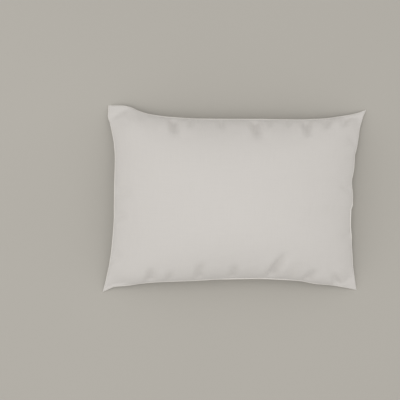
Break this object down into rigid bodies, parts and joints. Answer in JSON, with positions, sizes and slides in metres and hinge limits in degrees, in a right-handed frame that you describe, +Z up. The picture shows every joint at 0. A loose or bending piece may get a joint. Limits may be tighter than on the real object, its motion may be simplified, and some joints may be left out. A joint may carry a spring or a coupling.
{
  "type": "bed pillow",
  "caption": "Filled bed pillow in a plain knife-edged envelope pillowcase; the insert draws out of the case's mouth.",
  "frame": {"origin": "on the bed surface, under the middle of the pillow's outline", "axes": "+Z up through the loft, +X along the length towards the mouth of the case, +Y across the width"},
  "size_m": [0.7257, 0.514, 0.15],
  "materials": {
    "case_cotton": "fine plain-weave cotton, cream, matt, softly creased",
    "ticking": "dense off-white cotton ticking, fine twill",
    "piping_cord": "cloth-covered cord edging",
    "fibre": "lofted white polyester fibre",
    "thread": "spun sewing thread",
    "woven_label": "blank woven satin label"
  },
  "bodies": {
    "case": {"case_front_panel": "case_cotton", "case_back_panel": "case_cotton", "case_far_side_seam": "case_cotton", "case_near_side_seam": "case_cotton", "case_closed_end_seam": "case_cotton", "case_back_hem": "case_cotton", "case_flap": "case_cotton", "case_flap_hem": "case_cotton", "case_care_label": "woven_label"},
    "insert": {"ticking_upper_panel": "ticking", "ticking_lower_panel": "ticking", "ticking_piping": "piping_cord", "fibre_fill": "fibre", "ticking_closing_stitch": "thread", "ticking_label": "woven_label"}
  },
  "joints": [
    {"name": "insert_slide", "type": "slide", "parent": "case", "child": "insert", "axis": [1, 0, 0], "range_m": [0, 0.78], "deforming": ["case_front_panel", "case_back_panel", "case_far_side_seam", "case_near_side_seam", "case_closed_end_seam", "case_back_hem", "case_flap", "case_flap_hem", "case_care_label"]}
  ]
}
